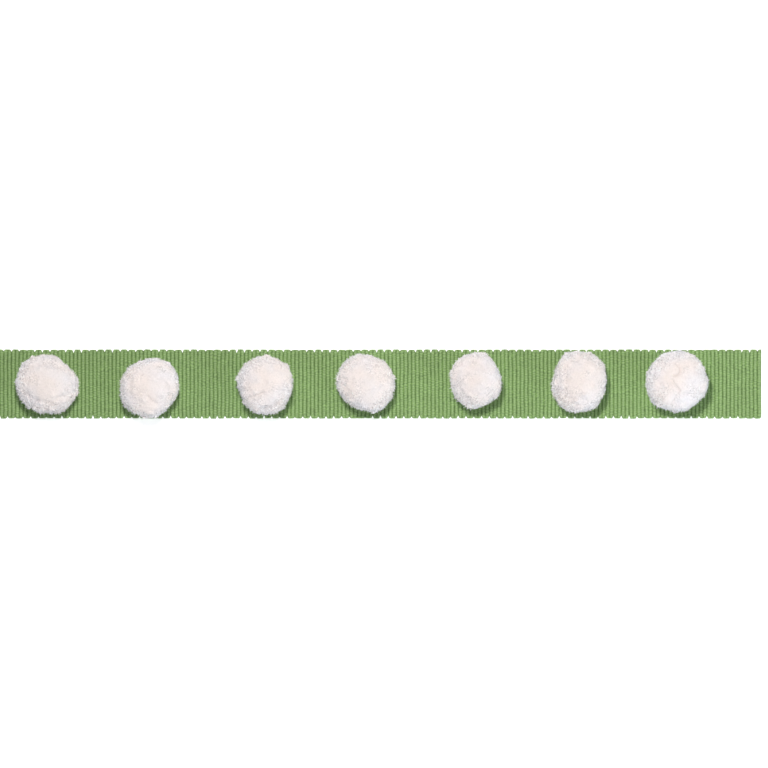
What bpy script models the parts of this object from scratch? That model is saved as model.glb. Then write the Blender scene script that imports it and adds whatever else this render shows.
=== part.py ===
"""A cut length of pompom trim: grosgrain ribbon with trimmed yarn pompoms along its face.

Metres, +Z up. X runs along the ribbon and Y across it. The ribbon lies flat on Z = 0, with the
origin in the middle of its back, and the pompoms sit on its ribbed face.
"""

import math
from collections import namedtuple

import bmesh
import bpy
from mathutils import Euler, Vector, noise

MM = 0.001

# The ribbon. Its weft bundles stand up as ribs across the width, and each turn of the weft at
# an edge joins two ribs in one scallop.
RIB_PITCH = 1.418 * MM
RIB_COUNT = 197  # odd, so that one rib lies on the origin
RIBBON_WIDTH = 25.0 * MM
RIBBON_THICKNESS = 1.35 * MM
FACE_GROOVE = 0.28 * MM
BACK_GROOVE = 0.08 * MM
CREST_SHARE = 0.5  # of a rib's pitch, for its flat top
EDGE_ROUND = 0.8 * MM  # how far in from an edge a rib starts to fall
EDGE_DROP = 0.35 * MM
NOTCH_DEPTH = 0.65 * MM  # between scallops
SHOULDER_DEPTH = 0.12 * MM  # on a scallop's rounded sides
NOTCH_UNEVEN = 0.3  # share by which notches differ

# The pompoms. Each is a ball of cut yarn, pressed flat where it is sewn down.
SEAT_GAP = 0.3 * MM
SEAT_SHARE = 0.92  # height of a ball's middle over its seat, as a share of its upright radius
BALL_CUTS = 7  # cuts across each side of the cube that the ball starts from
TRIM_SHARPNESS = 14  # how crisply a trimmed flat meets the round
LUMP_SIZE = 5.0 * MM
LUMP_SHARE = 0.02  # of the radius
LOCK_COUNT = 40  # on each ball, besides its stray locks
LOCK_HEIGHT = 0.7 * MM
LOCK_ROOT_DEPTH = 0.3 * MM  # how far the ball lies inside the size over its locks
LOCK_TIP_SHARE = 0.45  # a lock's tip beside its root
LOCK_LEAN = 0.4  # of a lock's height
LOCK_LOWEST = -0.35  # sine of the lowest latitude that carries locks

# Places and sizes in millimetres, over the locks, and the turn in degrees.
Pompom = namedtuple("Pompom", "name along across width depth height turn")
POMPOMS = (
    Pompom("pompom_1", -120.7, 0.2, 23.2, 24.0, 20.6, 14),
    Pompom("pompom_2", -83.1, -1.6, 23.4, 22.4, 21.0, 50),
    Pompom("pompom_3", -40.6, -0.5, 23.1, 22.7, 20.2, 18),
    Pompom("pompom_4", -4.6, 0.3, 21.6, 22.8, 20.4, 20),
    Pompom("pompom_5", 36.1, 1.3, 21.4, 21.0, 19.2, 0),
    Pompom("pompom_6", 73.5, 0.8, 21.8, 24.4, 20.0, 10),
    Pompom("pompom_7", 109.1, 0.6, 23.8, 23.8, 21.2, 0),
)

# Where each ball was trimmed flat: the flat's bearing in plan and its lift above the horizon,
# in degrees, and its distance from the middle as a share of the ball's reach that way.
Trim = namedtuple("Trim", "name bearing lift share")
TRIMS = (
    Trim("pompom_1", 47, 5, 0.84),
    Trim("pompom_1", 96, 0, 0.90),
    Trim("pompom_1", 265, 0, 0.93),
    Trim("pompom_1", 200, 50, 0.92),
    Trim("pompom_2", 9, 0, 0.98),
    Trim("pompom_2", 247, 0, 0.92),
    Trim("pompom_2", 311, 0, 0.87),
    Trim("pompom_2", 338, 0, 0.92),
    Trim("pompom_2", 100, 48, 0.93),
    Trim("pompom_3", 8, 0, 0.82),
    Trim("pompom_3", 61, 0, 0.92),
    Trim("pompom_3", 204, 0, 0.90),
    Trim("pompom_3", 334, 0, 0.82),
    Trim("pompom_3", 270, 50, 0.94),
    Trim("pompom_4", 74, 0, 0.94),
    Trim("pompom_4", 226, 0, 0.95),
    Trim("pompom_4", 250, 0, 0.88),
    Trim("pompom_4", 20, 55, 0.93),
    Trim("pompom_5", 30, 0, 0.81),
    Trim("pompom_5", 194, 0, 0.96),
    Trim("pompom_5", 301, 0, 0.88),
    Trim("pompom_5", 352, 0, 0.84),
    Trim("pompom_5", 215, 50, 0.92),
    Trim("pompom_6", 162, 0, 0.91),
    Trim("pompom_6", 280, 0, 0.92),
    Trim("pompom_6", 331, 0, 0.89),
    Trim("pompom_6", 358, 0, 0.88),
    Trim("pompom_6", 80, 50, 0.93),
    Trim("pompom_7", 17, 0, 0.94),
    Trim("pompom_7", 260, 0, 0.89),
    Trim("pompom_7", 311, 0, 0.87),
    Trim("pompom_7", 150, 52, 0.93),
)

# Longer locks that stray from a ball's outline, with their height in millimetres.
Stray = namedtuple("Stray", "name bearing lift height")
STRAYS = (
    Stray("pompom_1", 228, -8, 1.4),
    Stray("pompom_1", 118, 0, 1.1),
    Stray("pompom_2", 256, -8, 1.2),
    Stray("pompom_3", 87, 0, 1.1),
    Stray("pompom_3", 305, -8, 1.2),
    Stray("pompom_4", 288, -8, 1.2),
    Stray("pompom_7", 331, -5, 0.8),
    Stray("pompom_7", 264, -8, 1.3),
)

GRASS_GREEN = (0.24, 0.36, 0.14, 1.0)
CREAM_WHITE = (0.85, 0.79, 0.75, 1.0)


def material(name, colour, roughness):
    made = bpy.data.materials.new(name)
    made.use_nodes = True
    shader = made.node_tree.nodes["Principled BSDF"]
    shader.inputs["Base Color"].default_value = colour
    shader.inputs["Roughness"].default_value = roughness
    shader.inputs["Metallic"].default_value = 0.0
    return made


def new_object(name, bm, finish):
    mesh = bpy.data.meshes.new(name)
    bmesh.ops.recalc_face_normals(bm, faces=bm.faces)
    bm.to_mesh(mesh)
    bm.free()
    mesh.materials.append(finish)
    mesh.shade_smooth()
    mesh.set_sharp_from_angle(angle=math.radians(40))
    made = bpy.data.objects.new(name, mesh)
    bpy.context.scene.collection.objects.link(made)
    return made


def notch(groove, first):
    """How far an edge is drawn in at a groove: deep between scallops, which start at `first`."""
    if (groove - first) % 2:
        return 0.0
    uneven = noise.noise(Vector((groove * 0.37, first * 5.1 + 2.3, 0.5)))
    return NOTCH_DEPTH * (1 + 2 * NOTCH_UNEVEN * uneven)


def edge_inset(groove, side, first):
    """How far an edge is drawn in beside a groove: -1 and 1 are the crests either side of it."""
    if side == 0:
        return notch(groove, first)
    return SHOULDER_DEPTH if (groove - first) % 2 == 0 else 0.0


def ribbon_section(groove, side):
    """The ribbon's outline across its width, in a groove or at the edge of a crest beside it."""
    x = (groove - RIB_COUNT / 2) * RIB_PITCH + side * (1 - CREST_SHARE) / 2 * RIB_PITCH
    face = RIBBON_THICKNESS - (FACE_GROOVE if side == 0 else 0.0)
    back = BACK_GROOVE if side == 0 else 0.0
    half = RIBBON_WIDTH / 2
    high, low = half - edge_inset(groove, side, 0), edge_inset(groove, side, 1) - half
    return [
        (x, low, back),
        (x, high, back),
        (x, high, face - EDGE_DROP),
        (x, half - EDGE_ROUND, face),
        (x, EDGE_ROUND - half, face),
        (x, low, face - EDGE_DROP),
    ]


def ribbon(finish):
    """Sections lofted along X, three to a rib, and closed by a flat cut at each end."""
    steps = [(g, side) for g in range(RIB_COUNT + 1) for side in (-1, 0, 1)][1:-1]
    bm = bmesh.new()
    rings = [[bm.verts.new(point) for point in ribbon_section(*step)] for step in steps]
    for ring, following in zip(rings, rings[1:]):
        for i, vert in enumerate(ring):
            j = (i + 1) % len(ring)
            bm.faces.new((vert, ring[j], following[j], following[i]))
    bm.faces.new(rings[0])
    bm.faces.new(rings[-1])
    return new_object("ribbon", bm, finish)


def direction(bearing, lift):
    return Vector((1, 0, 0)) @ Euler((0, math.radians(lift), -math.radians(bearing))).to_matrix()


def reach(toward, radii):
    """Distance from an ellipsoid's middle to its surface."""
    return 1 / math.sqrt(sum((u / r) ** 2 for u, r in zip(toward, radii)))


def ball_radius(toward, radii, trims, seed):
    """Distance from a pompom's middle to its surface: an ellipsoid, its trimmed flats, its lumps."""
    shares = [1 / reach(toward, radii)]
    for flat, share in trims:
        facing = toward.dot(flat)
        if facing > 0:
            support = math.sqrt(sum((u * r) ** 2 for u, r in zip(flat, radii)))
            shares.append(facing / (share * support))
    trimmed = sum(s**TRIM_SHARPNESS for s in shares) ** (-1 / TRIM_SHARPNESS)
    lump = noise.noise(toward * (trimmed / LUMP_SIZE) + Vector((seed * 7.3, 0, 0)))
    return trimmed * (1 + LUMP_SHARE * lump)


def even_directions():
    """Even directions over the part of a ball that carries locks, along a golden spiral."""
    turn = math.pi * (3 - math.sqrt(5))
    for i in range(LOCK_COUNT):
        z = 1 - (1 - LOCK_LOWEST) * (i + 0.5) / LOCK_COUNT
        flat = math.sqrt(1 - z * z)
        yield Vector((flat * math.cos(i * turn), flat * math.sin(i * turn), z))


def locks_of(row, seed):
    """Each lock's direction and height: a ball's stray locks, then its even ones, a little swung."""
    for stray in STRAYS:
        if stray.name == row.name:
            yield direction(stray.bearing - row.turn, stray.lift), stray.height * MM
    for i, toward in enumerate(even_directions()):
        swing = noise.noise_vector(toward * 3 + Vector((0, seed * 3.7, 0)))
        uneven = noise.noise(Vector((i * 2.1, 0.4, seed * 1.3)))
        yield toward + 0.12 * swing, LOCK_HEIGHT * (1 + 0.5 * uneven)


def raise_locks(bm, row, seed):
    """Four-sided locks of yarn drawn out of the ball, standing apart but for their roots."""
    free = set(bm.faces)
    roots, heights = [], []
    for toward, height in locks_of(row, seed):
        root = max(free, key=lambda face: face.calc_center_median().normalized().dot(toward))
        roots.append(root)
        heights.append(height)
        free -= {near for vert in root.verts for near in vert.link_faces}
    raised = bmesh.ops.extrude_discrete_faces(bm, faces=roots)["faces"]
    for i, (tip, height) in enumerate(zip(raised, heights)):
        middle = tip.calc_center_median()
        lean = noise.noise_vector(Vector((i * 1.7, seed * 2.9, 0.3)))
        moved = middle + (tip.normal + LOCK_LEAN * lean) * height
        for vert in tip.verts:
            vert.co = moved + (vert.co - middle) * LOCK_TIP_SHARE


def pompom(row, seed, finish):
    """A cube cut into a grid and blown out to the trimmed ball, with locks and a pressed seat."""
    radii = [size * MM / 2 - LOCK_ROOT_DEPTH for size in (row.width, row.depth)]
    radii.append((row.height * MM - LOCK_ROOT_DEPTH) / (1 + SEAT_SHARE))
    trims = [
        (direction(trim.bearing - row.turn, trim.lift), trim.share)
        for trim in TRIMS
        if trim.name == row.name
    ]
    bm = bmesh.new()
    bmesh.ops.create_cube(bm, size=2)
    bmesh.ops.subdivide_edges(bm, edges=bm.edges, cuts=BALL_CUTS, use_grid_fill=True)
    for vert in bm.verts:
        toward = Vector([math.tan(c * math.pi / 4) for c in vert.co]).normalized()
        vert.co = toward * ball_radius(toward, radii, trims, seed)
    bm.normal_update()
    raise_locks(bm, row, seed)
    seat = -SEAT_SHARE * radii[2]
    for vert in bm.verts:
        vert.co.z = max(vert.co.z, seat)
    made = new_object(row.name, bm, finish)
    made.location = (row.along * MM, row.across * MM, RIBBON_THICKNESS + SEAT_GAP - seat)
    made.rotation_euler = (0, 0, math.radians(row.turn))
    return made


def main():
    for old in list(bpy.data.objects):
        bpy.data.objects.remove(old)
    trim = bpy.data.objects.new("pompom_trim", None)
    bpy.context.scene.collection.objects.link(trim)
    green = material("grosgrain_green", GRASS_GREEN, 0.7)
    cream = material("yarn_cream", CREAM_WHITE, 0.95)
    ribbon(green).parent = trim
    for seed, row in enumerate(POMPOMS):
        pompom(row, seed, cream).parent = trim


main()
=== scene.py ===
import math

import bpy
import numpy as np
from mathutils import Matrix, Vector, kdtree, noise


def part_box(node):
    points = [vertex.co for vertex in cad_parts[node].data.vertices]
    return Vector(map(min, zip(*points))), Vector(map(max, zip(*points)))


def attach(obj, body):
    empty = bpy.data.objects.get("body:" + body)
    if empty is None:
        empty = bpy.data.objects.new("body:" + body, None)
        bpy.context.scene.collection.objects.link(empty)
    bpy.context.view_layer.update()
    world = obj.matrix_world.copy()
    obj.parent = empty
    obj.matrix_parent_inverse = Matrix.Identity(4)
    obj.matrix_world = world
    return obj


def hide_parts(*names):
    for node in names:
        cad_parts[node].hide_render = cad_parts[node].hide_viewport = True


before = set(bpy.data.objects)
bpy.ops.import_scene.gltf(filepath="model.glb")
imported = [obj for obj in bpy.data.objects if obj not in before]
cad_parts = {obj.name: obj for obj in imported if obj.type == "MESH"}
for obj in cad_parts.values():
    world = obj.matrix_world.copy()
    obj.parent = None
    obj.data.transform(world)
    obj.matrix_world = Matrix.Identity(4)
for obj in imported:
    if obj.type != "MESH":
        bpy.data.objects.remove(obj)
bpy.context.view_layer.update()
mm = 0.001


# Helpers that every piece uses.


def addNode(tree, kind, inputs=None, **options):
    node = tree.nodes.new(kind)
    for name, value in options.items():
        setattr(node, name, value)
    for key, value in (inputs or {}).items():
        if isinstance(value, bpy.types.NodeSocket):
            tree.links.new(value, node.inputs[key])
        else:
            node.inputs[key].default_value = value
    return node


def calc(tree, operation, first, second=0.0, third=0.0):
    return addNode(tree, "ShaderNodeMath", {0: first, 1: second, 2: third}, operation=operation).outputs[0]


def product(tree, first, *others):
    for other in others:
        first = calc(tree, "MULTIPLY", first, other)
    return first


def between(tree, share, low, high):
    return calc(tree, "MULTIPLY_ADD", share, high - low, low)


def clamped(tree, value):
    return calc(tree, "MINIMUM", calc(tree, "MAXIMUM", value, 0.0), 1.0)


def unevenTone(tree, value, strength):
    # A factor near 1, from a noise that runs from 0 to 1.
    return calc(tree, "MULTIPLY_ADD", value, strength, 1 - strength / 2)


def splitPlace(tree, place):
    return addNode(tree, "ShaderNodeSeparateXYZ", {0: place}).outputs


def joinPlace(tree, x, y, z=0.0):
    return addNode(tree, "ShaderNodeCombineXYZ", {0: x, 1: y, 2: z}).outputs[0]


def noiseAt(tree, place, scale, detail, output=0):
    inputs = {"Vector": place, "Scale": scale, "Detail": detail}
    return addNode(tree, "ShaderNodeTexNoise", inputs).outputs[output]


def mixColours(tree, share, low, high, blend="MIX"):
    node = addNode(tree, "ShaderNodeMix", data_type="RGBA", blend_type=blend, clamp_result=True)
    for socket, value in ((node.inputs[0], share), (node.inputs[6], low), (node.inputs[7], high)):
        if isinstance(value, bpy.types.NodeSocket):
            tree.links.new(value, socket)
        else:
            socket.default_value = value
    return node.outputs[2]


def shaded(tree, colour, tone):
    return mixColours(tree, 1.0, colour, joinPlace(tree, tone, tone, tone), "MULTIPLY")


def newMaterial(name, settings):
    made = bpy.data.materials.new(name)
    made.use_nodes = True
    shader = made.node_tree.nodes["Principled BSDF"]
    shader.inputs["Roughness"].default_value = settings["roughness"]
    shader.inputs["Sheen Weight"].default_value = settings["sheen"]
    shader.inputs["Specular IOR Level"].default_value = settings["specular"]
    return made, made.node_tree, shader


def dress(piece, finish):
    piece.data.materials.clear()
    piece.data.materials.append(finish)


def selectOnly(piece):
    bpy.ops.object.select_all(action="DESELECT")
    piece.select_set(True)
    bpy.context.view_layer.objects.active = piece


def applyModifier(piece, kind, **options):
    selectOnly(piece)
    modifier = piece.modifiers.new(kind.title(), kind)
    for name, value in options.items():
        setattr(modifier, name, value)
    bpy.ops.object.modifier_apply(modifier=modifier.name)


def fromAngles(bearing, lift):
    # The direction at a bearing round Z and a lift above level, both in degrees.
    bearing, lift = math.radians(bearing), math.radians(lift)
    return Vector((math.cos(bearing) * math.cos(lift), math.sin(bearing) * math.cos(lift), math.sin(lift)))


def readPoints(mesh):
    points = np.empty(len(mesh.vertices) * 3)
    mesh.vertices.foreach_get("co", points)
    return points.reshape(-1, 3)


def writePoints(mesh, points):
    mesh.vertices.foreach_set("co", points.ravel())
    mesh.update()


# The ribbon: ribs across its width, and a scalloped edge where the weft turns back.

ribbonLow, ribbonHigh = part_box("ribbon")
ribbon = {
    "ribs": 197,
    "columnsInRib": 8,
    "rowsInEdge": 6,  # rows in the rounded strip along each edge
    "rowsBetween": 12,
    "faceGroove": 0.40 * mm,
    "backGroove": 0.22 * mm,
    "edgeStrip": 1.1 * mm,  # how far in from an edge the ribs start to round over
    "edgeLevel": 0.5,  # height of the edge's outermost line, as a share of the thickness
    "notchDepth": 0.82 * mm,
    "notchUneven": 0.5,
    "notchStep": 0.73,  # how fast the unevenness changes from notch to notch
    "notchWidth": 0.31,  # as a share of a scallop, which has a flat top between its notches
    "notchPower": 1.1,
    "lobeReach": 0.10 * mm,  # the crests of the scallops stand this far past the nominal edge
    "lobeUneven": 0.06 * mm,
    "lobeStep": 0.61,
    "loopReach": 0.55,  # in ribs each way from a scallop's middle, where the weft loops over
    "loopFilling": 0.7,  # how much of the groove it fills there
    "edgeHalfThickness": 0.04 * mm,  # at the edge's outermost line
    "wander": 0.16 * mm,  # how far the ribs stray from straight
    "wanderSteps": (0.11, 2.1),  # how fast that changes from rib to rib and across the width
    "smoothAngle": 70,  # in degrees
    "roughness": 0.62,
    "sheen": 0.12,
    "specular": 0.3,
    "threadPitch": 0.45 * mm,
    "threadRelief": 0.14 * mm,
    "reliefStrength": 0.4,
    "threadTones": (0.99, 1.04),  # the darkest thread and the palest
    "interlock": 0.32,  # how far the warp threads of one rib reach in between those of the next
    "drift": 2.0,  # how far the threads wander along a rib, in steps between its own threads
    "driftScale": 300.0,
    # painted shade between the threads, on the crests and then in the grooves
    "gapShade": 0.30,
    "gapShadeInGroove": 0.70,
    "flecksAlong": 1.15,  # to a thread
    "flecksAcross": 3.0,  # to a rib
    "fleckDepth": 0.18,
    "fleckDepthInGroove": 0.68,
    "grain": 0.45,
    "grainScale": 1500.0,
    "patchiness": 0.10,
    "patchScale": 90.0,
    "paintedFalloff": 0.8,  # painted shade: a little darker towards -X, as if less light fell there, as a share for each metre
    "crestGreen": (0.304, 0.460, 0.188, 1),
    # painted shade: the grooves are coloured a darker green than the crests
    "grooveShadeGreen": (0.214, 0.366, 0.100, 1),
}


def ribbonRows():
    # Places across the width from -1 to 1, close together in the rounded strips.
    strip = ribbon["edgeStrip"] / ribbonHigh.y
    quarter = np.linspace(0, 0.5 * math.pi, ribbon["rowsInEdge"], endpoint=False)
    turned = 1 - strip * (1 - np.cos(quarter))
    flat = np.linspace(1 - strip, strip - 1, ribbon["rowsBetween"] + 1)
    return np.concatenate((turned, flat, -turned[::-1]))


def unevenEach(numbers, step, seed, layer):
    # One soft noise value for each number, the same wherever that number comes again.
    values = {n: noise.noise((n * step, seed, layer)) for n in set(numbers.tolist())}
    return np.array([values[n] for n in numbers.tolist()])


def lobeInset(ribAt, first, seed):
    # How far a scalloped edge is drawn in, one lobe to every two ribs.
    along = (ribAt - first) / 2
    fromMiddle = np.abs(2 * (along - np.floor(along)) - 1)
    drawnIn = np.clip(1 - (1 - fromMiddle) / ribbon["notchWidth"], 0, 1) ** ribbon["notchPower"]
    notch = unevenEach(np.round(along).astype(int), ribbon["notchStep"], seed, 0.5)
    lobe = unevenEach(np.floor(along).astype(int), ribbon["lobeStep"], seed, 4.5)
    inward = ribbon["notchDepth"] * (1 + 2 * ribbon["notchUneven"] * notch)
    outward = ribbon["lobeReach"] + 2 * ribbon["lobeUneven"] * lobe * (1 - drawnIn)
    return inward * drawnIn - outward


def makeRibbon():
    rows = ribbonRows()
    ribs, columnsInRib = ribbon["ribs"], ribbon["columnsInRib"]
    columns = ribs * columnsInRib
    bpy.ops.mesh.primitive_grid_add(x_subdivisions=columns, y_subdivisions=len(rows) - 1, size=1)
    piece = bpy.context.object
    piece.name = piece.data.name = "grosgrainRibbon"
    bpy.ops.object.mode_set(mode="EDIT")
    bpy.ops.mesh.select_all(action="SELECT")
    bpy.ops.mesh.extrude_region_move(TRANSFORM_OT_translate={"value": (0, 0, -1)})
    bpy.ops.object.mode_set(mode="OBJECT")

    flat = readPoints(piece.data)
    isBack = flat[:, 2] < -0.5
    column = np.rint((flat[:, 0] + 0.5) * columns).astype(int)
    row = np.rint((0.5 - flat[:, 1]) * (len(rows) - 1)).astype(int)
    inRib = (1 - np.cos(math.pi * (column % columnsInRib) / columnsInRib)) / 2
    ribAt = column // columnsInRib + inRib
    crest = np.sqrt(np.clip(1 - (2 * inRib - 1) ** 2, 0, 1))

    half, thickness = ribbonHigh.y, ribbonHigh.z
    across = rows[row]
    strip = ribbon["edgeStrip"] / half
    toEdge = np.clip((np.abs(across) - (1 - strip)) / strip, 0, 1)
    inset = np.where(across > 0, lobeInset(ribAt, 0, 2.0), lobeInset(ribAt, 1, 7.0))
    stepAlong, stepAcross = ribbon["wanderSteps"]
    sideShift = [noise.noise((x * stepAlong, y * stepAcross, 3.0)) for x, y in zip(ribAt, across)]
    fromLoop = np.abs(np.where(across > 0, ribAt % 2, (ribAt + 1) % 2) - 1)
    grooveHere = np.where(fromLoop < ribbon["loopReach"], 1 - ribbon["loopFilling"] * toEdge, 1)

    points = np.empty_like(flat)
    points[:, 0] = ribbonLow.x + ribAt * (ribbonHigh.x - ribbonLow.x) / ribs
    inside = (column > 0) & (column < columns)
    points[inside, 0] += ribbon["wander"] * np.array(sideShift)[inside]
    points[:, 1] = across * half - np.sign(across) * inset * toEdge
    face = thickness - ribbon["faceGroove"] * (1 - crest) * grooveHere
    back = ribbon["backGroove"] * (1 - crest) * grooveHere
    level = thickness * ribbon["edgeLevel"]
    rounded = np.sqrt(np.clip(1 - toEdge**2, 0, 1))
    points[:, 2] = level + (np.where(isBack, back, face) - level) * rounded
    points[:, 2] += np.where(isBack, -1, 1) * ribbon["edgeHalfThickness"] * toEdge
    writePoints(piece.data, points)

    weave = piece.data.uv_layers.new(name="weave")
    corner = np.empty(len(piece.data.loops), dtype=int)
    piece.data.loops.foreach_get("vertex_index", corner)
    threadAt = (across * half + half) / ribbon["threadPitch"] + 0.5 * isBack
    weave.data.foreach_set("uv", np.column_stack((ribAt, threadAt))[corner].ravel())
    selectOnly(piece)
    bpy.ops.object.shade_smooth_by_angle(angle=math.radians(ribbon["smoothAngle"]))
    return piece


def signed(tree, share):
    return between(tree, share, -1.0, 1.0)


def roundOver(tree, value):
    # 1 in the middle of each whole step, and 0 at its ends.
    fromMiddle = signed(tree, calc(tree, "FRACT", value))
    return calc(tree, "SUBTRACT", 1.0, calc(tree, "MULTIPLY", fromMiddle, fromMiddle))


def cellNoise(tree, column, row, dimensions):
    cell = joinPlace(tree, column, row)
    return addNode(tree, "ShaderNodeTexWhiteNoise", {0: cell}, noise_dimensions=dimensions).outputs[0]


def ribbonFinish():
    made, tree, shader = newMaterial("grosgrainWeave", ribbon)
    ribAt, threadAt, _ = splitPlace(tree, addNode(tree, "ShaderNodeUVMap", uv_map="weave").outputs[0])
    objectPlace = addNode(tree, "ShaderNodeTexCoord").outputs["Object"]
    # Each rib shows every other warp thread, and the next rib the ones between, so that the
    # threads of two ribs interlock along the groove.
    zigzag = signed(tree, calc(tree, "PINGPONG", threadAt, 1.0))
    side = signed(tree, calc(tree, "PINGPONG", calc(tree, "ROUND", ribAt), 1.0))
    inGroove = calc(tree, "POWER", signed(tree, calc(tree, "FRACT", ribAt)), 2.0)
    shift = product(tree, zigzag, side, calc(tree, "MULTIPLY", inGroove, ribbon["interlock"]))
    ribAt = calc(tree, "ADD", ribAt, shift)
    ribNumber = calc(tree, "FLOOR", ribAt)
    crest = roundOver(tree, ribAt)
    # The threads drift along the ribs, so their places in neighbouring ribs never quite repeat.
    thread = calc(tree, "ADD", threadAt, calc(tree, "PINGPONG", ribNumber, 1.0))
    drift = noiseAt(tree, objectPlace, ribbon["driftScale"], 0.0)
    thread = calc(tree, "MULTIPLY_ADD", thread, 0.5, calc(tree, "MULTIPLY", drift, ribbon["drift"]))
    threadRound = roundOver(tree, thread)

    # Painted shade: the gaps between threads are darker, most of all down in the grooves; the flecks, a
    # random tone, are also strongest there.
    inDeep = calc(tree, "SUBTRACT", 1.0, crest)
    gapShade = between(tree, inDeep, ribbon["gapShade"], ribbon["gapShadeInGroove"])
    threadGapShade = calc(tree, "MULTIPLY", calc(tree, "SUBTRACT", 1.0, threadRound), gapShade)
    fleckColumn = calc(tree, "FLOOR", calc(tree, "MULTIPLY", ribAt, ribbon["flecksAcross"]))
    fleckRow = calc(tree, "FLOOR", calc(tree, "MULTIPLY", threadAt, ribbon["flecksAlong"]))
    fleck = calc(tree, "SUBTRACT", cellNoise(tree, fleckColumn, fleckRow, "2D"), 0.5)
    fleckDepth = between(tree, inDeep, ribbon["fleckDepth"], ribbon["fleckDepthInGroove"])
    threadTone = cellNoise(tree, ribNumber, calc(tree, "FLOOR", thread), "3D")
    tone = product(
        tree,
        between(tree, threadTone, *ribbon["threadTones"]),
        calc(tree, "SUBTRACT", 1.0, threadGapShade),
        calc(tree, "MULTIPLY_ADD", fleck, fleckDepth, 1.0),
        unevenTone(tree, noiseAt(tree, objectPlace, ribbon["grainScale"], 2.0), ribbon["grain"]),
        unevenTone(tree, noiseAt(tree, objectPlace, ribbon["patchScale"], 1.0), ribbon["patchiness"]),
    )
    # Painted shade: the ribbon is darker towards -X, as if less light fell on that end.
    alongX = splitPlace(tree, objectPlace)[0]
    paintedFalloff = calc(tree, "MINIMUM", calc(tree, "MULTIPLY_ADD", alongX, ribbon["paintedFalloff"], 1.0), 1.0)
    # Painted shade: the grooves get a darker green than the crests, as if less light reached down there.
    green = mixColours(tree, calc(tree, "POWER", crest, 2.0), ribbon["grooveShadeGreen"], ribbon["crestGreen"])
    colour = shaded(tree, green, calc(tree, "MULTIPLY", tone, paintedFalloff))
    tree.links.new(colour, shader.inputs["Base Color"])

    relief = {
        "Strength": ribbon["reliefStrength"],
        "Distance": ribbon["threadRelief"],
        "Height": calc(tree, "MULTIPLY", threadRound, crest),
    }
    tree.links.new(addNode(tree, "ShaderNodeBump", relief).outputs[0], shader.inputs["Normal"])
    return made


# The pompoms: each is a ball of close, cut yarn ends, gathered in locks, with fine stray fibres.
yarn = {
    "mergeWithin": 0.01 * mm,
    "bodyVoxel": 0.5 * mm,
    "bodySmoothing": 6,
    "ballRoundness": 7,
    "startSize": 0.4,  # radius of the ball that is drawn out to the shape, as a share of the height
    "clearance": 0.05 * mm,  # between the lowest yarn and the rib crests
    "inset": 0.53 * mm,  # how far the roots of the yarn ends lie inside the CAD ball
    "lumpSize": 4.5 * mm,
    "lumpDepth": 0.16 * mm,
    "creaseReach": 0.3,  # how far down the sides the creases go on
    "creaseShade": 0.5,
    "tuftWidth": 0.12,  # in radians, seen from the ball's middle
    "lockSpacing": 1.9 * mm,
    "lockDepth": 0.02 * mm,
    "lockDepthAtRim": 0.30 * mm,
    "lockGroove": 0.35,
    "lockHeights": (-0.6, 1.0),
    "lockSunk": 0.6,  # how low the locks lie, as a share of their depth
    "endScatter": 0.75,
    "endSpacing": 0.50 * mm,
    "endWidth": 0.75,  # as a share of the spacing, so that dark gaps are left between the ends
    "endDepth": 0.14 * mm,
    "endDepthAtRim": 0.37 * mm,
    "endUneven": 0.06 * mm,
    "endUnevenAtRim": 0.14 * mm,
    "rimSpread": 1.3,
    "rimLevel": 0.85,
    "rimRuffled": 0.25,  # more on the side named below, and less on the other
    "rimLostBelow": 0.8,  # the ends are even again underneath
    "ruffledBearing": 225,  # the side where the winding leaves the ends more uneven
    "ruffledLift": 10,
    "roughness": 0.9,
    "sheen": 0.15,
    "specular": 0.2,
    "tipCream": (0.950, 0.864, 0.825, 1),
    "coolCream": (0.900, 0.865, 0.882, 1),  # in soft patches of the yarn's own hue, and as painted cool light towards the rim and on the rightmost ball
    # painted shade, in the gaps between the ends and in the creases
    "paintedShadeCream": (0.64, 0.59, 0.57, 1),
    "paintedShadeShown": 0.35,
    "paintedShadeShownAtRim": 1.0,
    "paintedShadePower": 0.6,
    "coolAtRim": 0.3,
    "coolWhenPaintedLighter": 8.0,
    "hueContrast": 2.4,
    "hueLevel": -1.08,
    "hueScale": 110.0,
    "brightest": 1.03,
    "speckleShade": 0.08,
    "speckleShadeAtRim": 0.36,
    "speckleShadeWhenRuffled": (0.4, 1.3),  # where the yarn is brushed smooth, and where it is ruffled
    "grainWhenRuffled": (0.25, 1.40),
    "grainTowardRim": (0.52, 0.97),
    "grainScale": 2200.0,
    "ruffledAtRim": 0.25,
    "ruffledContrast": 9.0,
    "ruffledLevel": -5.0,
    "ruffledScale": 200.0,
    "patchiness": 0.06,
    "patchScale": 300.0,
    # painted shade on top, and painted light at the outermost rim
    "shadeOnTopToRim": (0.925, 1.03),
    "outermostFrom": 0.6,
    "paintedRimLight": 0.16,
    "paintedLightByBall": {"pompom_1": 0.965, "pompom_7": 1.035},  # painted light: the rightmost ball is painted paler and cooler and the leftmost darker, as if lit more from the right
}
strayFibre = {
    "sides": 3,
    "length": 0.90 * mm,
    "rootWidth": 0.30 * mm,
    "tipWidth": 0.10 * mm,
    "spacing": 0.60 * mm,
    "triesToSpacing": 3.0,
    "widthOnTop": 0.5,
    "leanSize": 3.2 * mm,
    "lean": 0.9,
    "stray": 0.6,
    "shortest": 0.5,
    "longest": 1.2,
    "darkest": 0.75,
    "swaySeed": 3,
    "spinSeed": 5,
    "lengthSeed": 7,
    "toneSeed": 11,
}
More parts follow.
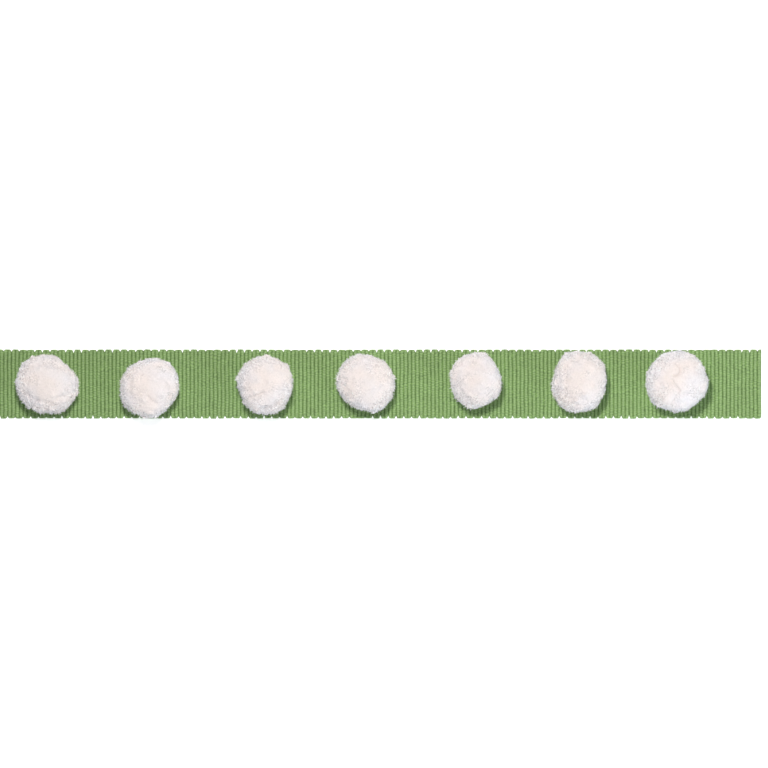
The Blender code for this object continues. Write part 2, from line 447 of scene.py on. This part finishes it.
# Soft creases pressed into a ball, as lines seen from above: the points, from the ball's middle,
# then how deep and how wide, all in millimetres.
creases = {
    "pompom_1": [
        ([(-9.0, 4.0), (-5.0, 6.6), (0.5, 7.6), (5.5, 6.4)], 0.60, 1.0),
        ([(-8.6, -3.2), (-5.6, -5.8), (-1.0, -7.2), (2.0, -7.4)], 0.50, 0.9),
        ([(3.4, -6.0), (6.0, -4.4), (8.6, -3.6)], 0.30, 0.9),
        ([(-5.8, -9.4), (-4.9, -7.6), (-3.4, -6.4)], 0.60, 0.5),
    ],
    "pompom_2": [
        ([(-0.6, -3.4), (1.0, -5.0), (2.4, -6.0)], 0.45, 0.7),
        ([(4.2, 4.0), (6.4, 3.0), (7.8, 0.0), (7.6, -3.0)], 0.35, 0.8),
        ([(-8.5, 5.5), (-7.0, 1.0), (-7.8, -4.0)], 0.30, 1.0),
    ],
    "pompom_3": [
        ([(-6.0, -5.2), (-3.6, -4.6), (-1.6, -3.6), (-0.4, -3.2)], 0.42, 0.6),
        ([(0.6, -8.8), (3.0, -8.0), (5.0, -7.0)], 0.50, 0.7),
        ([(-7.2, 5.0), (-6.4, 1.5), (-7.4, -2.0)], 0.40, 1.0),
        ([(2.0, 8.4), (4.4, 6.2), (7.2, 5.4)], 0.30, 0.9),
    ],
    "pompom_4": [
        ([(-9.8, 2.8), (-8.4, 1.8), (-7.2, 1.2)], 0.70, 0.6),
        ([(-8.2, -1.0), (-6.8, -3.2), (-7.6, -5.0)], 0.35, 0.8),
        ([(-1.0, 5.6), (1.0, 7.2), (4.0, 7.6)], 0.30, 0.8),
        ([(-6.0, -6.0), (-2.5, -7.4), (1.5, -8.2)], 0.30, 1.0),
    ],
    "pompom_5": [
        ([(-7.4, 3.0), (-7.0, -1.0), (-5.4, -4.6), (-3.0, -7.0)], 0.35, 0.9),
        ([(1.8, 5.4), (3.6, 3.6), (3.8, 1.4)], 0.25, 0.7),
        ([(-2.6, -4.4), (0.6, -5.0)], 0.25, 0.6),
    ],
    "pompom_6": [
        ([(-5.2, 6.0), (-5.0, 0.5), (-5.2, -5.5)], 0.30, 0.8),
        ([(-4.0, -6.6), (-0.5, -6.0), (3.0, -7.4)], 0.30, 0.8),
    ],
    "pompom_7": [
        ([(-1.6, 6.6), (0.6, 6.0), (1.2, 4.0), (0.2, 2.4), (-1.4, 2.0)], 0.65, 0.45),
        ([(-2.2, 0.6), (-1.2, -1.2), (0.8, -3.5)], 0.60, 0.5),
        ([(0.6, -3.6), (-0.8, -6.0), (-2.4, -8.8)], 0.40, 0.6),
        ([(-7.0, -1.0), (-4.5, -0.6), (-2.8, -1.6)], 0.35, 0.6),
        ([(2.6, -4.6), (6.0, -5.0), (9.6, -4.0)], 0.45, 0.7),
    ],
}
# Tufts that stand out of a ball, and places where it is cut closer: bearing and lift in degrees,
# and how much longer the yarn is there, in millimetres.
tufts = {
    "pompom_1": [
        (212, -4, -0.5),
        (236, 13, -0.8),
        (236, -5, -1.4),
        (246, 0, -0.4),
        (253, -10, 0.4),
        (279, -2, -0.4),
        (298, -10, 0.6),
        (314, -2, -0.5),
        (340, 0, 0.3),
        (1, 0, 0.4),
    ],
    "pompom_2": [(256, -8, 0.4), (292, -8, 0.5)],
    "pompom_3": [
        (39, 0, 0.7),
        (56, 0, -0.6),
        (120, 0, -0.4),
        (169, 0, 1.0),
        (206, 0, -0.8),
        (240, 0, -0.5),
        (335, 0, -0.3),
    ],
    "pompom_4": [(300, -8, 0.3), (260, -8, -0.5), (10, 0, 0.4)],
    "pompom_5": [(70, 5, 0.9), (270, -5, 0.4)],
    "pompom_6": [(30, 0, 0.4), (68, 0, 0.4), (250, -6, 0.4), (300, -6, 0.4)],
    "pompom_7": [
        (331, -5, -0.1),
        (264, -8, 0.3),
        (286, -10, 0.3),
        (140, 0, -0.5),
        (178, 0, -0.4),
        (200, 0, -0.6),
    ],
}


def pointToLine(points, line):
    nearest = np.full(len(points), 1e9)
    for start, end in zip(line, line[1:]):
        start, span = np.array(start) * mm, (np.array(end) - np.array(start)) * mm
        share = np.clip((points - start) @ span / (span @ span), 0, 1)
        nearest = np.minimum(nearest, np.linalg.norm(points - start - share[:, None] * span, axis=1))
    return nearest


def evenDirections(count, generator):
    # Directions spread evenly all round, each a little off its place.
    turns = np.arange(count) * math.pi * (3 - math.sqrt(5))
    up = 1 - (2 * np.arange(count) + 1) / count
    level = np.sqrt(1 - up**2)
    spread = np.column_stack((level * np.cos(turns), level * np.sin(turns), up))
    spread += generator.normal(0, yarn["endScatter"] / math.sqrt(count), spread.shape)
    return spread / np.linalg.norm(spread, axis=1)[:, None]


def nearestEnds(toward, spacing, size, generator):
    # The ball is shared out among yarn ends: how far each point is from the middle of its own end
    # and from its neighbour's, and which end that is.
    ends = evenDirections(int(4 * math.pi * (size / spacing) ** 2), generator)
    tree = kdtree.KDTree(len(ends))
    for index, end in enumerate(ends):
        tree.insert(end, index)
    tree.balance()
    found = [tree.find_n(point, 2) for point in toward]
    first = np.array([near[0][2] for near in found]) * size / spacing
    second = np.array([near[1][2] for near in found]) * size / spacing
    own = np.array([near[0][1] for near in found])
    return first, second, own, len(ends)


def makeBody(nodeName):
    # The ball's own shape without its few coarse locks, and a finer ball drawn over it.
    body = bpy.data.objects.new("trimmedShape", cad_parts[nodeName].data.copy())
    bpy.context.scene.collection.objects.link(body)
    selectOnly(body)
    bpy.ops.object.mode_set(mode="EDIT")
    bpy.ops.mesh.select_all(action="SELECT")
    bpy.ops.mesh.remove_doubles(threshold=yarn["mergeWithin"])
    bpy.ops.object.mode_set(mode="OBJECT")
    applyModifier(body, "REMESH", mode="VOXEL", voxel_size=yarn["bodyVoxel"])
    applyModifier(body, "SMOOTH", factor=0.5, iterations=yarn["bodySmoothing"])
    low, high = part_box(nodeName)
    bpy.ops.object.select_all(action="DESELECT")
    bpy.ops.mesh.primitive_ico_sphere_add(
        subdivisions=yarn["ballRoundness"],
        radius=(high - low).z * yarn["startSize"],
        location=(low + high) / 2,
    )
    piece = bpy.context.object
    piece.name = nodeName.replace("pompom", "yarnPompom")
    bpy.ops.object.transform_apply()
    eachWay = {"use_positive_direction": True, "use_negative_direction": True}
    applyModifier(piece, "SHRINKWRAP", target=body, wrap_method="PROJECT", **eachWay)
    bpy.data.objects.remove(body)
    return piece


def towardRim(name, atRim):
    return yarn[name] + (yarn[name + "AtRim"] - yarn[name]) * atRim


def shapeBall(piece, nodeName, seed):
    low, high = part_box(nodeName)
    middle = np.array((low + high) / 2)
    size = (high - low).z / 2
    generator = np.random.default_rng(seed)
    points = readPoints(piece.data)
    normals = np.array([vertex.normal for vertex in piece.data.vertices])
    fromMiddle = points - middle
    toward = fromMiddle / np.linalg.norm(fromMiddle, axis=1)[:, None]
    up = toward[:, 2]
    ruffledSide = np.array(fromAngles(yarn["ruffledBearing"], yarn["ruffledLift"]))
    atRim = np.clip(yarn["rimSpread"] * (1 - np.abs(up)), 0, 1)
    atRim *= yarn["rimLevel"] + yarn["rimRuffled"] * (toward @ ruffledSide)
    atRim *= 1 + yarn["rimLostBelow"] * np.minimum(up, 0)

    rise = np.full(len(points), -yarn["inset"])
    pressed = np.zeros(len(points))
    facingUp = np.clip(normals[:, 2] + yarn["creaseReach"], 0, 1)
    for line, depth, width in creases[nodeName]:
        near = np.exp(-((pointToLine(fromMiddle[:, :2], line) / (width * mm)) ** 2)) * facingUp
        rise -= depth * mm * near
        pressed = np.maximum(pressed, depth * near)
    for bearing, lift, extra in tufts[nodeName]:
        fromTip = np.arccos(np.clip(toward @ np.array(fromAngles(bearing, lift)), -1, 1))
        rise += extra * mm * np.exp(-((fromTip / yarn["tuftWidth"]) ** 2))
    lumps = np.array([noise.noise(point / yarn["lumpSize"]) for point in map(Vector, points)])
    rise += yarn["lumpDepth"] * lumps

    first, second, own, count = nearestEnds(toward, yarn["lockSpacing"], size, generator)
    lockHeight = generator.uniform(*yarn["lockHeights"], count)[own]
    groove = np.clip((second - first) / yarn["lockGroove"], 0, 1)
    lock = 0.5 * lockHeight + groove * (1 - 0.5 * first**2) - yarn["lockSunk"]
    rise += towardRim("lockDepth", atRim) * lock

    first, second, own, count = nearestEnds(toward, yarn["endSpacing"], size, generator)
    endHeight = generator.uniform(-1, 1, count)[own]
    dome = np.sqrt(np.clip(1 - (first / yarn["endWidth"]) ** 2, 0, 1))
    rise += towardRim("endDepth", atRim) * dome + towardRim("endUneven", atRim) * endHeight
    writePoints(piece.data, points + normals * rise[:, None])

    # Painted shade: the gaps between the ends and the creases get the darker shade cream, more of it near
    # the rim, where the yarn is seen from the side.
    shownTip = 1 - (1 - dome) * towardRim("paintedShadeShown", atRim)
    kept = {
        "tip": shownTip * (1 - yarn["creaseShade"] * pressed),
        "tone": 0.5 + 0.5 * endHeight,
        "rim": atRim,
        # Painted light for each ball, read by the material.
        "paintedLight": np.full(len(points), yarn["paintedLightByBall"].get(nodeName, 1.0)),
    }
    for name, values in kept.items():
        piece.data.attributes.new(name, "FLOAT", "POINT").data.foreach_set("value", values)


def storeValue(tree, geometry, name, value, domain):
    inputs = {"Geometry": geometry, "Name": name, "Value": value}
    kind = "GeometryNodeStoreNamedAttribute"
    return addNode(tree, kind, inputs, data_type="FLOAT", domain=domain).outputs[0]


def strandShape(tree, strand):
    # One fibre standing on the ball: a thin cone, cut off at its tip.
    cone = {
        "Vertices": strand["sides"],
        "Side Segments": 1,
        "Radius Top": strand["tipWidth"] / 2,
        "Radius Bottom": strand["rootWidth"] / 2,
        "Depth": strand["length"],
    }
    shape = addNode(tree, "GeometryNodeMeshCone", cone, fill_type="NGON").outputs[0]
    return storeValue(tree, shape, "tip", 1.0, "POINT")


def randomBetween(tree, low, high, seed):
    inputs = {2: low, 3: high, "Seed": seed}
    return addNode(tree, "FunctionNodeRandomValue", inputs, data_type="FLOAT").outputs[1]


def vectorMath(tree, operation, first, second):
    return addNode(tree, "ShaderNodeVectorMath", {0: first, 1: second}, operation=operation).outputs[0]


def fibreTurn(tree, normal, place, strand):
    # Each fibre stands on the ball, leans with its clump, strays a little and is spun round itself.
    swirl = noiseAt(tree, place, 1 / strand["leanSize"], 2.0, output=1)
    swirl = vectorMath(tree, "SUBTRACT", swirl, (0.5, 0.5, 0.5))
    swirl = vectorMath(tree, "MULTIPLY", swirl, (2 * strand["lean"],) * 3)
    toward = vectorMath(tree, "ADD", normal, swirl)
    stray = strand["stray"]
    sway = {0: (-stray,) * 3, 1: (stray,) * 3, "Seed": strand["swaySeed"]}
    sway = addNode(tree, "FunctionNodeRandomValue", sway, data_type="FLOAT_VECTOR").outputs[0]
    toward = vectorMath(tree, "ADD", toward, sway)
    turned = addNode(tree, "FunctionNodeAlignRotationToVector", {"Vector": toward}, axis="Z").outputs[0]
    spin = {"Axis": (0, 0, 1), "Angle": randomBetween(tree, 0.0, 2 * math.pi, strand["spinSeed"])}
    spin = addNode(tree, "FunctionNodeAxisAngleToRotation", spin).outputs[0]
    turned = addNode(tree, "FunctionNodeRotateRotation", {0: turned, 1: spin}, rotation_space="LOCAL")
    return turned.outputs[0]


def strew(tree, core, seed, strand):
    # Spreads a strand evenly over the core, leaning in soft clumps.
    spread = {
        "Mesh": core,
        "Distance Min": strand["spacing"],
        "Density Max": strand["triesToSpacing"] / strand["spacing"] ** 2,
        "Seed": seed,
    }
    kind = "GeometryNodeDistributePointsOnFaces"
    scatter = addNode(tree, kind, spread, distribute_method="POISSON")
    place = addNode(tree, "GeometryNodeInputPosition").outputs[0]
    rim = addNode(tree, "GeometryNodeInputNamedAttribute", {"Name": "rim"}, data_type="FLOAT").outputs[0]
    wide = between(tree, rim, strand["widthOnTop"], 1.0)
    long = randomBetween(tree, strand["shortest"], strand["longest"], strand["lengthSeed"])
    standing = {
        "Points": scatter.outputs[0],
        "Instance": strandShape(tree, strand),
        "Rotation": fibreTurn(tree, scatter.outputs["Normal"], place, strand),
        "Scale": joinPlace(tree, wide, wide, calc(tree, "MULTIPLY", long, wide)),
    }
    ends = addNode(tree, "GeometryNodeInstanceOnPoints", standing).outputs[0]
    tone = randomBetween(tree, strand["darkest"], 1.0, strand["toneSeed"])
    ends = storeValue(tree, ends, "tone", tone, "INSTANCE")
    return addNode(tree, "GeometryNodeRealizeInstances", {0: ends}).outputs[0]


def yarnTree(finish):
    # Covers a core in yarn and keeps it off the ribbon.
    tree = bpy.data.node_groups.new("cutYarn", "GeometryNodeTree")
    tree.interface.new_socket("Geometry", in_out="INPUT", socket_type="NodeSocketGeometry")
    tree.interface.new_socket("Seed", in_out="INPUT", socket_type="NodeSocketInt")
    tree.interface.new_socket("Geometry", in_out="OUTPUT", socket_type="NodeSocketGeometry")
    given = addNode(tree, "NodeGroupInput")
    core, seed = given.outputs[0], given.outputs[1]
    joined = addNode(tree, "GeometryNodeJoinGeometry")
    for layer in (core, strew(tree, core, seed, strayFibre)):
        tree.links.new(layer, joined.inputs[0])
    x, y, z = splitPlace(tree, addNode(tree, "GeometryNodeInputPosition").outputs[0])
    clear = joinPlace(tree, x, y, calc(tree, "MAXIMUM", z, ribbonHigh.z + yarn["clearance"]))
    moved = {"Geometry": joined.outputs[0], "Position": clear}
    made = addNode(tree, "GeometryNodeSetPosition", moved).outputs[0]
    made = addNode(tree, "GeometryNodeSetMaterial", {"Geometry": made, "Material": finish}).outputs[0]
    addNode(tree, "NodeGroupOutput", {0: made})
    return tree


def coverInYarn(piece, tree, seed):
    selectOnly(piece)
    modifier = piece.modifiers.new("cutYarn", "NODES")
    modifier.node_group = tree
    modifier[tree.interface.items_tree["Seed"].identifier] = seed
    bpy.ops.object.modifier_apply(modifier=modifier.name)
    bpy.ops.object.shade_smooth()


def yarnFinish():
    made, tree, shader = newMaterial("cutYarnCream", yarn)
    tip, tone, rim, paintedLight = (
        addNode(tree, "ShaderNodeAttribute", attribute_name=name).outputs["Fac"]
        for name in ("tip", "tone", "rim", "paintedLight")
    )
    objectPlace = addNode(tree, "ShaderNodeTexCoord").outputs["Object"]
    patches = noiseAt(tree, objectPlace, yarn["patchScale"], 2.0)
    hues = noiseAt(tree, objectPlace, yarn["hueScale"], 1.0)
    grain = noiseAt(tree, objectPlace, yarn["grainScale"], 1.0)
    ruffles = noiseAt(tree, objectPlace, yarn["ruffledScale"], 2.0)

    # The yarn is cooler in soft patches of its own hue, and painted cooler towards the rim, as painted
    # cool light from the sides, and on the rightmost ball, as painted light.
    cool = calc(tree, "MULTIPLY_ADD", hues, yarn["hueContrast"], yarn["hueLevel"])
    cool = calc(tree, "MULTIPLY_ADD", rim, yarn["coolAtRim"], cool)
    paintedLighter = calc(tree, "MAXIMUM", calc(tree, "SUBTRACT", paintedLight, 1.0), 0.0)
    cool = clamped(tree, calc(tree, "MULTIPLY_ADD", paintedLighter, yarn["coolWhenPaintedLighter"], cool))
    cream = mixColours(tree, cool, yarn["tipCream"], yarn["coolCream"])
    # Painted shade: where little of an end's tip shows, the colour goes to the darker shade cream.
    colour = mixColours(tree, calc(tree, "POWER", tip, yarn["paintedShadePower"]), yarn["paintedShadeCream"], cream)

    # Some places are brushed smooth, and in others single ends stand out.
    ruffled = calc(tree, "MULTIPLY_ADD", rim, yarn["ruffledAtRim"], ruffles)
    ruffled = calc(tree, "MULTIPLY_ADD", ruffled, yarn["ruffledContrast"], yarn["ruffledLevel"])
    ruffled = clamped(tree, ruffled)
    # Painted shade: each end has its own tone, and the lower-lying ends are painted darker, as if shaded
    # by their neighbours, more so near the rim and where the yarn is ruffled.
    darker = calc(tree, "POWER", calc(tree, "SUBTRACT", 1.0, tone), 2.0)
    speckleShade = product(
        tree,
        darker,
        between(tree, rim, yarn["speckleShade"], yarn["speckleShadeAtRim"]),
        between(tree, ruffled, *yarn["speckleShadeWhenRuffled"]),
    )
    grainStrength = product(
        tree,
        between(tree, rim, *yarn["grainTowardRim"]),
        between(tree, ruffled, *yarn["grainWhenRuffled"]),
    )
    # Painted shade and painted light: the tops of the balls are painted darker than their sides, and the
    # outermost rim is painted lighter still.
    nearRim = calc(tree, "MINIMUM", calc(tree, "MULTIPLY", rim, 2.0), 1.0)
    outermost = calc(tree, "MAXIMUM", calc(tree, "SUBTRACT", rim, yarn["outermostFrom"]), 0.0)
    topShade = between(tree, nearRim, *yarn["shadeOnTopToRim"])
    shade = product(
        tree,
        calc(tree, "SUBTRACT", yarn["brightest"], speckleShade),
        calc(tree, "MULTIPLY_ADD", calc(tree, "SUBTRACT", grain, 0.5), grainStrength, 1.0),
        unevenTone(tree, patches, yarn["patchiness"]),
        calc(tree, "MULTIPLY_ADD", outermost, yarn["paintedRimLight"], topShade),
        paintedLight,
    )
    tree.links.new(shaded(tree, colour, shade), shader.inputs["Base Color"])
    return made


studio = {
    "floorSize": 8.0,
    "floorGap": 0.02 * mm,
    "floorWhite": (0.92, 0.92, 0.92, 1),
    "floorGlow": 0.60,
    "roughness": 0.9,  # this and the next two are the floor's
    "sheen": 0.0,
    "specular": 0.1,
    "ceiling": (0.165, 0.16, 0.16, 1),
    "wallTops": (0.37, 0.385, 0.41, 1),
    "wallTopsAt": 0.65,  # as a share of the way from straight down to straight up
    "walls": (0.80, 0.88, 0.96, 1),  # bright and a little cool, at the table's level
    "belowTable": (1.12, 1.24, 1.34, 1),
    "keyBearing": 104,
    "keyLift": 76,
    "keyAway": 1.3,  # metres from the middle
    "keySize": 0.14,
    "keyPower": 12.1,
    "keyColour": (1, 0.975, 0.955),
    "fillPlace": (0.40, -0.30, 0.16),
    "fillSize": 0.30,
    "fillPower": 0.88,
    "fillColour": (0.84, 0.94, 1),
    "frontPlace": (-0.24, -0.50, 0.12),
    "frontSize": 0.50,
    "frontPower": 0.20,
    "frontColour": (0.78, 0.92, 1),
    "lens": 1200,
    "sensor": 36,
    "frameWidth": 280.3 * mm,  # what the camera takes in at the height of the ribbon's face
    "frameMiddle": 2.0 * mm,
}


def aimedLight(name, place):
    bpy.ops.object.light_add(type="AREA", location=place)
    light = bpy.context.object
    light.name = name + "Light"
    light.data.shape = "DISK"
    light.data.size = studio[name + "Size"]
    light.data.energy = studio[name + "Power"]
    light.data.color = studio[name + "Colour"]
    light.rotation_euler = (-Vector(place)).to_track_quat("-Z", "Y").to_euler()


def makeFloor():
    bpy.ops.mesh.primitive_plane_add(size=studio["floorSize"], location=(0, 0, -studio["floorGap"]))
    floor = bpy.context.object
    floor.name = "floor"
    made, _, shader = newMaterial("paleFloor", studio)
    shader.inputs["Base Color"].default_value = studio["floorWhite"]
    shader.inputs["Emission Color"].default_value = (1, 1, 1, 1)
    shader.inputs["Emission Strength"].default_value = studio["floorGlow"]
    dress(floor, made)
    floor.visible_diffuse = False


def makeSky():
    sky = bpy.data.worlds.new("studioSky")
    sky.use_nodes = True
    tree = sky.node_tree
    upward = splitPlace(tree, addNode(tree, "ShaderNodeTexCoord").outputs["Generated"])[2]
    room = addNode(tree, "ShaderNodeValToRGB", {0: calc(tree, "MULTIPLY_ADD", upward, 0.5, 0.5)})
    ramp = room.color_ramp
    ramp.elements[0].color = studio["belowTable"]
    ramp.elements[1].color = studio["ceiling"]
    ramp.elements.new(0.5).color = studio["walls"]
    ramp.elements.new(studio["wallTopsAt"]).color = studio["wallTops"]
    tree.links.new(room.outputs[0], tree.nodes["Background"].inputs[0])
    bpy.context.scene.world = sky


def makeStudio():
    makeFloor()
    makeSky()
    aimedLight("key", fromAngles(studio["keyBearing"], studio["keyLift"]) * studio["keyAway"])
    aimedLight("fill", studio["fillPlace"])
    aimedLight("front", studio["frontPlace"])

    away = studio["frameWidth"] * studio["lens"] / studio["sensor"]
    eye = (studio["frameMiddle"], 0, ribbonHigh.z + away)
    bpy.ops.object.camera_add(location=eye, rotation=(0, 0, 0))
    camera = bpy.context.object
    camera.data.lens = studio["lens"]
    camera.data.sensor_width = studio["sensor"]
    bpy.context.scene.camera = camera
    bpy.context.scene.view_settings.view_transform = "Standard"


print("pompoms")
cutYarn = yarnTree(yarnFinish())
ballNames = sorted(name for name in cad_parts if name.startswith("pompom"))
for number, nodeName in enumerate(ballNames, start=1):
    ball = makeBody(nodeName)
    shapeBall(ball, nodeName, number)
    coverInYarn(ball, cutYarn, number)
    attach(ball, "root")
    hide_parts(nodeName)
    print(ball.name, len(ball.data.vertices), "points")

print("ribbon")
grosgrain = makeRibbon()
dress(grosgrain, ribbonFinish())
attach(grosgrain, "root")
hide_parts("ribbon")

print("studio")
makeStudio()
